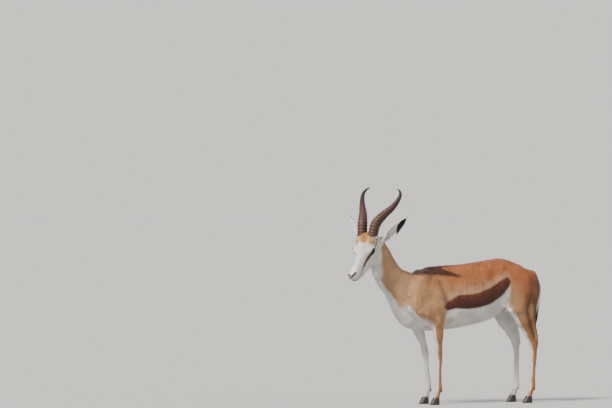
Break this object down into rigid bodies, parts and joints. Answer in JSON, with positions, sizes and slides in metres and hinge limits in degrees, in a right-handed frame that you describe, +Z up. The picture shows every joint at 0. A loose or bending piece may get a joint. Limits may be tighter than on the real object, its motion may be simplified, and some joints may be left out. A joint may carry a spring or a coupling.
{
  "type": "springbok",
  "caption": "Life-size springbok ram standing still with its head turned to its left, ringed horns, upright ears, cloven hooves and a tufted tail.",
  "frame": {"origin": "on the floor, under the middle of the bounding box", "axes": "-X the way the body faces, -Y the ram's left side, +Z up"},
  "size_m": [1.24, 0.319, 1.1531],
  "materials": {
    "coat_cinnamon": "short cinnamon-brown fur",
    "coat_fawn": "short fawn fur",
    "coat_white": "short white fur",
    "horn": "ringed dark brown horn",
    "hoof": "dull near-black hoof",
    "eye": "wet dark brown eye"
  },
  "bodies": {
    "root": {"torso": "coat_cinnamon", "neck": "coat_fawn", "head": "coat_white", "ear_left": "coat_white", "eye_left": "eye", "horn_left": "horn", "ear_right": "coat_white", "eye_right": "eye", "horn_right": "horn", "foreleg_left": "coat_fawn", "hoof_fore_left_inner": "hoof", "hoof_fore_left_outer": "hoof", "foreleg_right": "coat_fawn", "hoof_fore_right_inner": "hoof", "hoof_fore_right_outer": "hoof", "hindleg_left": "coat_fawn", "hoof_hind_left_inner": "hoof", "hoof_hind_left_outer": "hoof", "hindleg_right": "coat_fawn", "hoof_hind_right_inner": "hoof", "hoof_hind_right_outer": "hoof", "tail": "coat_white"}
  },
  "joints": []
}
